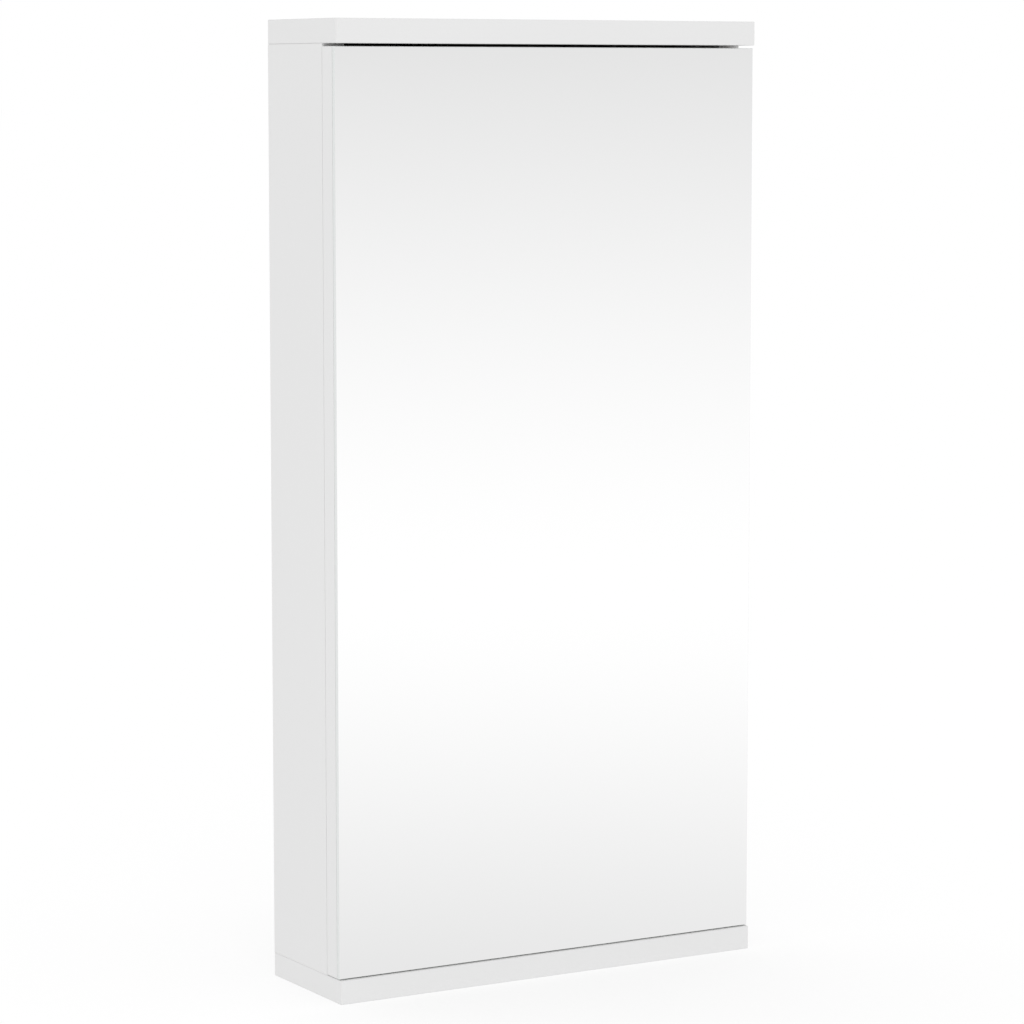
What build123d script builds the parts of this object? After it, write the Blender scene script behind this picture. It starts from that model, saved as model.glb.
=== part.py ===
# Corner bathroom mirror cabinet for the corner of two walls. Its plan is a house shape: a straight
# front, two short sides square to it, and two back panels at 45 degrees that meet in the corner.
# One mirror door covers the whole front between the top and bottom panels and turns on two cranked
# pivot brackets at its right edge. Sizes are in millimetres. +X is right, +Y is back towards the
# corner and +Z is up. The origin lies under the middle of the plan, level with the underside.
import os
from math import sqrt

from build123d import *

os.makedirs("parts", exist_ok=True)

# Overall sizes
width = 300.0
height = 600.0
side_depth = 90.0

# Board thicknesses
cap_thick = 15.0
side_thick = 15.0
back_thick = 12.0
shelf_thick = 15.0
shelf_ease = 0.5
cap_ease = 0.4

# Door
door_recess = 2.0
mirror_thick = 3.0
glue_thick = 0.3
board_thick = 12.7
door_gap = 0.3
top_gap = 1.8
bottom_gap = 0.5
mirror_bevel = 0.3
glue_strip_width = 40.0
glue_strip_count = 3
glue_end_margin = 30.0

# Pivot brackets, bushes, pins and washers at the right edge of the door
pivot_inset = 5.5
pivot_depth = 7.0
pin_radius = 2.0
pin_length = 12.0
pin_clear = 0.05
pin_bevel = 0.5
bush_wall = 1.5
bush_length = 13.0
washer_thick = 0.5
washer_radius = 3.6
bracket_thick = 2.0
tongue_radius = 4.0
tongue_reach = 14.0
tongue_clear = 1.0
notch_air = 0.7
flange_start = 2.6
flange_length = 32.0
flange_drop = 30.0
bracket_screw_margin = 7.0
bracket_screw_length = 12.0

# Shelves on pins
shelf_front_back = 6.0
shelf_clear = 1.5
shelf_pin_radius = 2.5
shelf_pin_stem = 8.0
shelf_pin_stud = 8.0
shelf_pin_collar = 1.0
shelf_pin_collar_radius = 3.75
shelf_pin_inset = 20.0
shelf_pin_back_run = 80.0
pin_hole_pitch = 32.0
pin_hole_spares = 1

# Panel connectors: a cam with its bolt and a dowel at each end of each side panel
cam_radius = 7.5
cam_depth = 12.5
cam_setback = 34.0
cam_inset = 22.0
cam_bolt_radius = 2.5
cam_bolt_head = 3.3
cam_bolt_grip = 11.0
cam_slot_clear = 0.3
cap_radius = 8.5
cap_cover = 1.2
cap_bevel = 0.4
dowel_radius = 4.0
dowel_length = 30.0
dowel_grip = 10.0
dowel_inset = 18.6
back_dowel_radius = 3.0
back_dowel_length = 25.0
back_dowel_grip = 5.0
back_dowel_offset = 4.5
back_dowel_margin = 120.0

# Screws: shank radius, head radius, length
board_screw_shank = 1.9
board_screw_head = 3.9
cap_screw_length = 50.0
apex_screw_length = 40.0
small_screw_shank = 1.5
small_screw_head = 2.9
small_screw_length = 9.0
recess_width = 0.7
recess_depth = 1.6
screw_clear = 0.05
cap_screw_runs = (60.0, 150.0)
apex_screw_margin = 100.0

# Wall screw holes in the back panels, each with a steel washer on the inner face
wall_hole_radius = 2.6
wall_hole_run = 106.0
wall_hole_margin = 70.0
wall_washer_radius = 9.0
wall_washer_thick = 1.5
wall_washer_clear = 0.3

# Magnetic catch on the left side panel, with its strike plate on the door
catch_base_height = 56.0
catch_base_thick = 4.0
catch_block_height = 34.0
catch_block_reach = 14.0
catch_depth = 15.0
catch_setback = 1.0
catch_screw_span = 45.0
magnet_thick = 4.0
magnet_height = 28.0
magnet_depth = 10.0
pole_thick = 1.2
pole_clear = 0.1
strike_height = 46.0
strike_width = 12.0
strike_thick = 1.2
strike_screw_span = 36.0

# Planes and levels that follow from the sizes above
root_two = sqrt(2)
half_width = width / 2
depth = side_depth + half_width
front_y = -depth / 2
apex_y = depth / 2
side_rear_y = front_y + side_depth
mirror_face_y = front_y + door_recess
board_front_y = mirror_face_y + mirror_thick + glue_thick
door_rear_y = board_front_y + board_thick
side_front_y = door_rear_y + door_gap
side_inner_x = half_width - side_thick
side_middle_x = half_width - side_thick / 2
back_inner_y = apex_y - back_thick * root_two
cap_under = height - cap_thick
door_bottom = cap_thick + bottom_gap
door_top = cap_under - top_gap
compartment_height = (cap_under - cap_thick - 2 * shelf_thick) / 3
lower_shelf_level = cap_thick + compartment_height
upper_shelf_level = lower_shelf_level + shelf_thick + compartment_height
catch_level = height / 2
pivot_x = half_width - pivot_inset
pivot_y = door_rear_y - pivot_depth
bush_radius = pin_radius + pin_clear + bush_wall
notch_drop = notch_air + bracket_thick + washer_thick
notch_front_y = pivot_y - tongue_radius - tongue_clear
tongue_end_x = side_inner_x - tongue_reach
flange_front_y = side_front_y + flange_start
catch_x = -side_inner_x + catch_block_reach / 2

TOP_OF = (Align.CENTER, Align.CENTER, Align.MAX)
FOOT_OF = (Align.CENTER, Align.CENTER, Align.MIN)


def save(piece, name):
    """Label a finished piece and write its file."""
    piece.part.label = name
    export_step(piece.part, f"parts/{name}.step")


def block(x_range, y_range, z_range, mode=Mode.ADD):
    """A box between two limits on each axis."""
    sizes = [high - low for low, high in (x_range, y_range, z_range)]
    middle = [(high + low) / 2 for low, high in (x_range, y_range, z_range)]
    with Locations(tuple(middle)):
        Box(*sizes, mode=mode)


def back_seat(side, run, level, inset=0.0):
    """Plane on the outer face of a back panel, facing the wall, at a run from the apex."""
    normal = Vector(side / root_two, 1 / root_two, 0)
    spot = Vector(side * run / root_two, apex_y - run / root_two, level) - normal * inset
    return Plane(origin=spot, x_dir=(-normal.Y, normal.X, 0), z_dir=normal)


def back_core(side, run, level, facing):
    """Plane on a cap panel's outer face, over the middle of a back panel's thickness."""
    spot = back_seat(side, run, level, back_thick / 2).origin
    return Plane(origin=spot, x_dir=(1, 0, 0), z_dir=(0, 0, facing))


def screw(seat, shank, head, length):
    """A countersunk cross-head screw whose head lies flush with its seat."""
    with Locations(seat):
        Cylinder(shank, length, align=TOP_OF)
        Cone(shank, head, head - shank, align=TOP_OF)
        Box(head, recess_width, recess_depth, align=TOP_OF, mode=Mode.SUBTRACT)
        Box(recess_width, head, recess_depth, align=TOP_OF, mode=Mode.SUBTRACT)


def screw_hole(seat, shank, head, length):
    """The countersunk hole that such a screw sits in."""
    with Locations(seat):
        Cylinder(shank + screw_clear, length + screw_clear, align=TOP_OF, mode=Mode.SUBTRACT)
        Cone(shank + screw_clear, head + screw_clear, head - shank, align=TOP_OF, mode=Mode.SUBTRACT)


def shelf_pin(seat):
    """A shelf pin: stem in the panel, collar on its face, stud under the shelf."""
    with Locations(seat):
        Cylinder(shelf_pin_radius, shelf_pin_stem, align=TOP_OF)
        Cylinder(shelf_pin_collar_radius, shelf_pin_collar, align=FOOT_OF)
        Cylinder(shelf_pin_radius, shelf_pin_collar + shelf_pin_stud, align=FOOT_OF)


def pin_hole(seat):
    """The blind hole that a shelf pin's stem goes in."""
    with Locations(seat):
        Cylinder(
            shelf_pin_radius + screw_clear, shelf_pin_stem + screw_clear, align=TOP_OF, mode=Mode.SUBTRACT
        )


def side_pin_seat(side, level):
    """Plane on a side panel's inner face where a shelf pin sits."""
    spot = (side * side_inner_x, side_front_y + shelf_pin_inset, level - shelf_pin_radius)
    return Plane(origin=spot, x_dir=(0, 1, 0), z_dir=(-side, 0, 0))


def back_pin_seat(side, level):
    """Plane on a back panel's inner face where a shelf pin sits."""
    outer = back_seat(side, shelf_pin_back_run, level - shelf_pin_radius, back_thick)
    return Plane(origin=outer.origin, x_dir=outer.x_dir, z_dir=-outer.z_dir)


def side_face_seat(side, y, level, reach=0.0):
    """Plane that faces into the cabinet, a reach in from a side panel's inner face."""
    return Plane(origin=(side * (side_inner_x - reach), y, level), x_dir=(0, 1, 0), z_dir=(-side, 0, 0))


pin_levels = [
    shelf_level + step * pin_hole_pitch
    for shelf_level in (lower_shelf_level, upper_shelf_level)
    for step in range(-pin_hole_spares, pin_hole_spares + 1)
]
cam_y = side_rear_y - cam_inset
dowel_y = side_front_y + dowel_inset
cam_levels = ((cap_under - cam_setback, 1), (cap_thick + cam_setback, -1))
joint_levels = ((cap_under, 1), (cap_thick, -1))
bracket_screw_ys = (
    flange_front_y + bracket_screw_margin,
    flange_front_y + flange_length - bracket_screw_margin,
)
bracket_screw_levels = (door_top - flange_drop / 2, door_bottom + flange_drop / 2)
back_dowel_levels = (back_dowel_margin, height / 2, height - back_dowel_margin)
apex_screw_levels = (apex_screw_margin, height / 2, height - apex_screw_margin)
wall_hole_levels = (wall_hole_margin, height - wall_hole_margin)
catch_screw_levels = (catch_level - catch_screw_span / 2, catch_level + catch_screw_span / 2)
strike_screw_levels = (catch_level - strike_screw_span / 2, catch_level + strike_screw_span / 2)
catch_front_y = side_front_y + catch_setback
catch_middle_y = catch_front_y + catch_depth / 2


# Top and bottom panels, which cap the sides, the backs and the door
for cap_name, cap_level, outer_level, facing in (
    ("top_panel", cap_under, height, 1),
    ("bottom_panel", 0.0, 0.0, -1),
):
    with BuildPart() as cap_panel:
        with BuildSketch(Plane.XY.offset(cap_level)):
            with BuildLine():
                Polyline(
                    (-half_width, front_y),
                    (half_width, front_y),
                    (half_width, side_rear_y),
                    (0, apex_y),
                    (-half_width, side_rear_y),
                    close=True,
                )
            make_face()
        extrude(amount=cap_thick)
        apex_edge = cap_panel.edges().filter_by(Axis.Z).sort_by(Axis.Y)[-1]
        chamfer([edge for edge in cap_panel.edges() if edge != apex_edge], cap_ease)
        for side in (-1, 1):
            for run in cap_screw_runs:
                seat = back_core(side, run, outer_level, facing)
                screw_hole(seat, board_screw_shank, board_screw_head, cap_screw_length)
            inner_level = cap_level if facing > 0 else cap_thick
            joint = Plane(origin=(side * side_middle_x, cam_y, inner_level), z_dir=(0, 0, -facing))
            with Locations(joint):
                Cylinder(cam_bolt_radius + screw_clear, cam_bolt_grip, align=TOP_OF, mode=Mode.SUBTRACT)
            joint = Plane(origin=(side * side_middle_x, dowel_y, inner_level), z_dir=(0, 0, -facing))
            with Locations(joint):
                Cylinder(dowel_radius + screw_clear, dowel_grip, align=TOP_OF, mode=Mode.SUBTRACT)
    save(cap_panel, cap_name)


# Side panels
for side, side_name in ((-1, "side_panel_left"), (1, "side_panel_right")):
    with BuildPart() as side_panel:
        x_limits = sorted((side * side_inner_x, side * half_width))
        block(x_limits, (side_front_y, side_rear_y), (cap_thick, cap_under))
        for level, facing in cam_levels:
            with Locations(side_face_seat(side, cam_y, level)):
                Cylinder(cam_radius + screw_clear, cam_depth + screw_clear, align=TOP_OF, mode=Mode.SUBTRACT)
        for level, facing in joint_levels:
            end = Plane(origin=(side * side_middle_x, cam_y, level), z_dir=(0, 0, facing))
            with Locations(end):
                Cylinder(cam_bolt_head + cam_slot_clear, cam_setback, align=TOP_OF, mode=Mode.SUBTRACT)
            end = Plane(origin=(side * side_middle_x, dowel_y, level), z_dir=(0, 0, facing))
            with Locations(end):
                Cylinder(
                    dowel_radius + screw_clear, dowel_length - dowel_grip, align=TOP_OF, mode=Mode.SUBTRACT
                )
        for level in back_dowel_levels:
            dowel_x = side * (side_inner_x + back_dowel_offset)
            end = Plane(origin=(dowel_x, side_rear_y, level), x_dir=(1, 0, 0), z_dir=(0, 1, 0))
            with Locations(end):
                Cylinder(
                    back_dowel_radius + screw_clear,
                    back_dowel_length - back_dowel_grip,
                    align=TOP_OF,
                    mode=Mode.SUBTRACT,
                )
        for level in pin_levels:
            pin_hole(side_pin_seat(side, level))
        if side > 0:
            for y in bracket_screw_ys:
                for level in bracket_screw_levels:
                    seat = side_face_seat(side, y, level, bracket_thick)
                    screw_hole(seat, small_screw_shank, small_screw_head, bracket_screw_length)
        else:
            for level in catch_screw_levels:
                seat = side_face_seat(side, catch_middle_y, level, catch_base_thick)
                screw_hole(seat, small_screw_shank, small_screw_head, bracket_screw_length)
    save(side_panel, side_name)


# Back panels: the left one runs to the apex and the right one butts against it
butt = back_thick / root_two
left_outline = (
    (-half_width, side_rear_y),
    (0, apex_y),
    (butt, apex_y - butt),
    (-half_width + back_thick * root_two, side_rear_y),
)
right_outline = (
    (half_width, side_rear_y),
    (butt, apex_y - butt),
    (0, back_inner_y),
    (half_width - back_thick * root_two, side_rear_y),
)
for side, back_name, outline in (
    (-1, "back_panel_left", left_outline),
    (1, "back_panel_right", right_outline),
):
    with BuildPart() as back_panel:
        with BuildSketch(Plane.XY.offset(cap_thick)):
            with BuildLine():
                Polyline(*outline, close=True)
            make_face()
        extrude(amount=cap_under - cap_thick)
        for run in cap_screw_runs:
            for level, facing in ((height, 1), (0.0, -1)):
                seat = back_core(side, run, level, facing)
                screw_hole(seat, board_screw_shank, board_screw_head, cap_screw_length)
        for level in apex_screw_levels:
            screw_hole(
                back_seat(-1, back_thick / 2, level), board_screw_shank, board_screw_head, apex_screw_length
            )
        for level in back_dowel_levels:
            dowel_x = side * (side_inner_x + back_dowel_offset)
            end = Plane(origin=(dowel_x, side_rear_y, level), x_dir=(1, 0, 0), z_dir=(0, 1, 0))
            with Locations(end):
                Cylinder(
                    back_dowel_radius + screw_clear, back_dowel_grip, align=FOOT_OF, mode=Mode.SUBTRACT
                )
        for level in pin_levels:
            pin_hole(back_pin_seat(side, level))
        for level in wall_hole_levels:
            with Locations(back_seat(side, wall_hole_run, level)):
                Cylinder(wall_hole_radius, 2 * back_thick, mode=Mode.SUBTRACT)
    save(back_panel, back_name)


# Two loose shelves on their pins
shelf_half = side_inner_x - shelf_clear
shelf_front_y = side_front_y + shelf_front_back
shelf_apex_y = back_inner_y - shelf_clear * root_two
for shelf_name, shelf_level in (("shelf_lower", lower_shelf_level), ("shelf_upper", upper_shelf_level)):
    with BuildPart() as shelf:
        with BuildSketch(Plane.XY.offset(shelf_level)):
            with BuildLine():
                Polyline(
                    (-shelf_half, shelf_front_y),
                    (shelf_half, shelf_front_y),
                    (shelf_half, shelf_apex_y - shelf_half),
                    (0, shelf_apex_y),
                    (-shelf_half, shelf_apex_y - shelf_half),
                    close=True,
                )
            make_face()
        extrude(amount=shelf_thick)
        chamfer(shelf.edges().filter_by(Axis.X), shelf_ease)
    save(shelf, shelf_name)

for pins_name, shelf_level in (
    ("shelf_pins_lower", lower_shelf_level),
    ("shelf_pins_upper", upper_shelf_level),
):
    with BuildPart() as shelf_pins:
        for side in (-1, 1):
            shelf_pin(side_pin_seat(side, shelf_level))
            shelf_pin(back_pin_seat(side, shelf_level))
    save(shelf_pins, pins_name)


# Cams, cam bolts, cover caps and dowels that join the sides to the cap panels
with BuildPart() as cam_locks:
    for side in (-1, 1):
        for level, facing in cam_levels:
            with Locations(side_face_seat(side, cam_y, level)):
                Cylinder(cam_radius, cam_depth, align=TOP_OF)
                Box(cam_radius, recess_width, recess_depth, align=TOP_OF, mode=Mode.SUBTRACT)
                Box(recess_width, cam_radius, recess_depth, align=TOP_OF, mode=Mode.SUBTRACT)
            rim = Plane(origin=(side * side_middle_x, cam_y, level), z_dir=(0, 0, facing))
            with Locations(rim):
                Sphere(cam_bolt_head + cam_slot_clear, mode=Mode.SUBTRACT)
                Cylinder(
                    cam_bolt_head + cam_slot_clear, cam_radius * 2, align=FOOT_OF, mode=Mode.SUBTRACT
                )
save(cam_locks, "cam_locks")

with BuildPart() as cam_bolts:
    for side in (-1, 1):
        for level, facing in cam_levels:
            head = Plane(origin=(side * side_middle_x, cam_y, level), z_dir=(0, 0, facing))
            with Locations(head):
                Sphere(cam_bolt_head)
                Cylinder(
                    cam_bolt_radius, cam_setback + cam_bolt_grip - screw_clear, align=FOOT_OF
                )
save(cam_bolts, "cam_bolts")

with BuildPart() as cam_caps:
    for side in (-1, 1):
        for level, facing in cam_levels:
            with Locations(side_face_seat(side, cam_y, level)):
                Cylinder(cap_radius, cap_cover, align=FOOT_OF)
    cap_rims = cam_caps.edges().filter_by(GeomType.CIRCLE)
    chamfer([rim for rim in cap_rims if abs(rim.center().X) < side_inner_x - cap_bevel], cap_bevel)
save(cam_caps, "cam_caps")

with BuildPart() as side_dowels:
    for side in (-1, 1):
        for level, facing in joint_levels:
            foot = level - facing * (dowel_length - dowel_grip - screw_clear)
            with Locations(Plane(origin=(side * side_middle_x, dowel_y, foot), z_dir=(0, 0, facing))):
                Cylinder(dowel_radius, dowel_length - 2 * screw_clear, align=FOOT_OF)
save(side_dowels, "side_dowels")

with BuildPart() as back_dowels:
    for side in (-1, 1):
        for level in back_dowel_levels:
            tip = (side * (side_inner_x + back_dowel_offset), side_rear_y + back_dowel_grip, level)
            with Locations(Plane(origin=tip, x_dir=(1, 0, 0), z_dir=(0, 1, 0))):
                Cylinder(back_dowel_radius, back_dowel_length - screw_clear, align=TOP_OF)
save(back_dowels, "back_dowels")


# Screws that hold the back panels
with BuildPart() as cap_screws:
    for side in (-1, 1):
        for run in cap_screw_runs:
            for level, facing in ((height, 1), (0.0, -1)):
                seat = back_core(side, run, level, facing)
                screw(seat, board_screw_shank, board_screw_head, cap_screw_length)
save(cap_screws, "cap_screws")

with BuildPart() as apex_screws:
    for level in apex_screw_levels:
        screw(back_seat(-1, back_thick / 2, level), board_screw_shank, board_screw_head, apex_screw_length)
save(apex_screws, "apex_screws")


# Washers under the heads of the wall screws
with BuildPart() as wall_washers:
    for side in (-1, 1):
        for level in wall_hole_levels:
            with Locations(back_seat(side, wall_hole_run, level, back_thick)):
                Cylinder(wall_washer_radius, wall_washer_thick, align=TOP_OF)
                Cylinder(
                    wall_hole_radius + wall_washer_clear, 2 * wall_washer_thick, mode=Mode.SUBTRACT
                )
save(wall_washers, "wall_washers")


# Door board: rounded about its pivot line, notched top and bottom for the bracket tongues
with BuildPart() as door_board:
    block((-half_width, half_width), (board_front_y, door_rear_y), (door_bottom, door_top))
    hinge_edge = door_board.edges().filter_by(Axis.Z).group_by(Axis.Y)[-1].sort_by(Axis.X)[-1]
    fillet(hinge_edge, pivot_inset)
    for level, facing in ((door_top, 1), (door_bottom, -1)):
        z_limits = sorted((level, level - facing * notch_drop))
        block(
            (tongue_end_x - tongue_clear, half_width + tongue_clear),
            (notch_front_y, door_rear_y + tongue_clear),
            z_limits,
            mode=Mode.SUBTRACT,
        )
        floor = Plane(origin=(pivot_x, pivot_y, level - facing * notch_drop), z_dir=(0, 0, facing))
        with Locations(floor):
            Cylinder(bush_radius + screw_clear, bush_length + screw_clear, align=TOP_OF, mode=Mode.SUBTRACT)
    strike_z = (catch_level - strike_height / 2 - screw_clear, catch_level + strike_height / 2 + screw_clear)
    strike_x = (catch_x - strike_width / 2 - screw_clear, catch_x + strike_width / 2 + screw_clear)
    block(strike_x, (door_rear_y - strike_thick, door_rear_y + strike_thick), strike_z, mode=Mode.SUBTRACT)
    for level in strike_screw_levels:
        seat = Plane(origin=(catch_x, door_rear_y, level), x_dir=(1, 0, 0), z_dir=(0, 1, 0))
        screw_hole(seat, small_screw_shank, small_screw_head, small_screw_length)
save(door_board, "door_board")

with BuildPart() as mirror:
    block(
        (-half_width, half_width), (mirror_face_y, mirror_face_y + mirror_thick), (door_bottom, door_top)
    )
    chamfer(mirror.faces().sort_by(Axis.Y)[0].edges(), mirror_bevel)
save(mirror, "mirror")

with BuildPart() as mirror_adhesive:
    strip_pitch = width / glue_strip_count
    for place in range(glue_strip_count):
        strip_x = strip_pitch / 2 - half_width + strip_pitch * place
        block(
            (strip_x - glue_strip_width / 2, strip_x + glue_strip_width / 2),
            (mirror_face_y + mirror_thick, board_front_y),
            (door_bottom + glue_end_margin, door_top - glue_end_margin),
        )
save(mirror_adhesive, "mirror_adhesive")


# Pivot brackets with their pins, washers and bushes, at the top and the bottom of the door
for place, level, facing in (("top", door_top, 1), ("bottom", door_bottom, -1)):
    floor_level = level - facing * notch_drop
    tongue_near = floor_level + facing * washer_thick
    tongue_far = tongue_near + facing * bracket_thick
    tongue_z = sorted((tongue_near, tongue_far))
    tongue_middle = (tongue_near + tongue_far) / 2

    with BuildPart() as pivot_bracket:
        block((tongue_end_x, pivot_x), (pivot_y - tongue_radius, pivot_y + tongue_radius), tongue_z)
        block(
            (tongue_end_x, side_inner_x), (pivot_y - tongue_radius, flange_front_y + flange_length), tongue_z
        )
        with Locations((pivot_x, pivot_y, tongue_middle)):
            Cylinder(tongue_radius, bracket_thick)
            Cylinder(pin_radius, 2 * bracket_thick, mode=Mode.SUBTRACT)
        block(
            (side_inner_x - bracket_thick, side_inner_x),
            (flange_front_y, flange_front_y + flange_length),
            sorted((tongue_far, level - facing * flange_drop)),
        )
        for y in bracket_screw_ys:
            seat = side_face_seat(1, y, level - facing * flange_drop / 2, bracket_thick)
            screw_hole(seat, small_screw_shank, small_screw_head, bracket_screw_length)
    save(pivot_bracket, f"pivot_bracket_{place}")

    with BuildPart() as pivot_pin:
        with Locations(Plane(origin=(pivot_x, pivot_y, tongue_far), z_dir=(0, 0, facing))):
            Cylinder(pin_radius, pin_length + washer_thick + bracket_thick, align=TOP_OF)
        tip = pivot_pin.faces().filter_by(Axis.Z).sort_by(Axis.Z)[0 if facing > 0 else -1]
        chamfer(tip.edges(), pin_bevel)
    save(pivot_pin, f"pivot_pin_{place}")

    with BuildPart() as pivot_washer:
        with Locations(Plane(origin=(pivot_x, pivot_y, floor_level), z_dir=(0, 0, facing))):
            Cylinder(washer_radius, washer_thick - pin_clear, align=FOOT_OF)
            Cylinder(pin_radius + pin_clear, 2 * washer_thick, mode=Mode.SUBTRACT)
    save(pivot_washer, f"pivot_washer_{place}")

    with BuildPart() as pivot_bush:
        with Locations(Plane(origin=(pivot_x, pivot_y, floor_level), z_dir=(0, 0, facing))):
            Cylinder(bush_radius, bush_length, align=TOP_OF)
            Cylinder(pin_radius + pin_clear, pin_length + 2 * pin_clear, align=TOP_OF, mode=Mode.SUBTRACT)
    save(pivot_bush, f"pivot_bush_{place}")

with BuildPart() as bracket_screws:
    for y in bracket_screw_ys:
        for level in bracket_screw_levels:
            seat = side_face_seat(1, y, level, bracket_thick)
            screw(seat, small_screw_shank, small_screw_head, bracket_screw_length)
save(bracket_screws, "bracket_screws")


# Magnetic catch on the left side panel
magnet_y = (side_front_y, side_front_y + magnet_depth)
magnet_z = (catch_level - magnet_height / 2, catch_level + magnet_height / 2)
with BuildPart() as catch_housing:
    block(
        (-side_inner_x, -side_inner_x + catch_base_thick),
        (catch_front_y, catch_front_y + catch_depth),
        (catch_level - catch_base_height / 2, catch_level + catch_base_height / 2),
    )
    block(
        (-side_inner_x, -side_inner_x + catch_block_reach),
        (catch_front_y, catch_front_y + catch_depth),
        (catch_level - catch_block_height / 2, catch_level + catch_block_height / 2),
    )
    pocket_half = magnet_thick / 2 + pole_thick + pole_clear
    block(
        (catch_x - pocket_half, catch_x + pocket_half),
        (magnet_y[0], magnet_y[1] + pole_clear),
        (magnet_z[0] - pole_clear, magnet_z[1] + pole_clear),
        mode=Mode.SUBTRACT,
    )
    for level in catch_screw_levels:
        seat = side_face_seat(-1, catch_middle_y, level, catch_base_thick)
        screw_hole(seat, small_screw_shank, small_screw_head, bracket_screw_length)
save(catch_housing, "catch_housing")

with BuildPart() as catch_magnet:
    block((catch_x - magnet_thick / 2, catch_x + magnet_thick / 2), magnet_y, magnet_z)
save(catch_magnet, "catch_magnet")

with BuildPart() as catch_poles:
    for side in (-1, 1):
        near = catch_x + side * magnet_thick / 2
        block(sorted((near, near + side * pole_thick)), magnet_y, magnet_z)
save(catch_poles, "catch_poles")

with BuildPart() as catch_screws:
    for level in catch_screw_levels:
        seat = side_face_seat(-1, catch_middle_y, level, catch_base_thick)
        screw(seat, small_screw_shank, small_screw_head, bracket_screw_length)
save(catch_screws, "catch_screws")

with BuildPart() as strike_plate:
    block(
        (catch_x - strike_width / 2, catch_x + strike_width / 2),
        (door_rear_y - strike_thick, door_rear_y),
        (catch_level - strike_height / 2, catch_level + strike_height / 2),
    )
    for level in strike_screw_levels:
        seat = Plane(origin=(catch_x, door_rear_y, level), x_dir=(1, 0, 0), z_dir=(0, 1, 0))
        screw_hole(seat, small_screw_shank, small_screw_head, small_screw_length)
save(strike_plate, "strike_plate")

with BuildPart() as strike_screws:
    for level in strike_screw_levels:
        seat = Plane(origin=(catch_x, door_rear_y, level), x_dir=(1, 0, 0), z_dir=(0, 1, 0))
        screw(seat, small_screw_shank, small_screw_head, small_screw_length)
save(strike_screws, "strike_screws")
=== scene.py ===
from math import pi, radians, sqrt

import bmesh
import bpy
from mathutils import Matrix, Vector


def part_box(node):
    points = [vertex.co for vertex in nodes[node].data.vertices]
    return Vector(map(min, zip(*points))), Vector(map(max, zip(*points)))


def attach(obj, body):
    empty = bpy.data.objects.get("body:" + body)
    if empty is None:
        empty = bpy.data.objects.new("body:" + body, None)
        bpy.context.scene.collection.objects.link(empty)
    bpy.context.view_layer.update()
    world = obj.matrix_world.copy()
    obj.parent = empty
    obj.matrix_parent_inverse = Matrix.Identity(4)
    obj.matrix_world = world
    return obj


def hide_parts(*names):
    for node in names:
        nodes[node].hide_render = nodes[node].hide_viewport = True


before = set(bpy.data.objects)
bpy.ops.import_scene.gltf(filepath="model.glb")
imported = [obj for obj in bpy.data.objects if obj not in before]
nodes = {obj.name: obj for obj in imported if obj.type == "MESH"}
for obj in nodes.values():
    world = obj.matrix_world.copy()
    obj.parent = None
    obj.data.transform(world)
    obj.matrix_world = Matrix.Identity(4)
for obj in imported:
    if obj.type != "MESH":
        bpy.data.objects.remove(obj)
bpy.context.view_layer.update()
print("frame loaded:", len(nodes), "CAD nodes")


# Shader wiring: a Wire is an output socket, and arithmetic on wires adds Math nodes
class Wire:
    def __init__(self, graph, socket):
        self.graph = graph
        self.socket = socket

    def maths(self, operation, *values):
        settings = {"operation": operation}
        return self.graph.out("ShaderNodeMath", settings, dict(enumerate(values)))

    def __add__(self, other):
        return self.maths("ADD", self, other)

    def __sub__(self, other):
        return self.maths("SUBTRACT", self, other)

    def __rsub__(self, other):
        return self.maths("SUBTRACT", other, self)

    def __mul__(self, other):
        return self.maths("MULTIPLY", self, other)

    def __truediv__(self, other):
        return self.maths("DIVIDE", self, other)

    def __gt__(self, other):
        return self.maths("GREATER_THAN", self, other)

    def __lt__(self, other):
        return self.maths("LESS_THAN", self, other)

    def __abs__(self):
        return self.maths("ABSOLUTE", self)

    def __pow__(self, other):
        return self.maths("POWER", self, other)

    def most(self, other):
        return self.maths("MAXIMUM", self, other)

    __radd__ = __add__
    __rmul__ = __mul__


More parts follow.
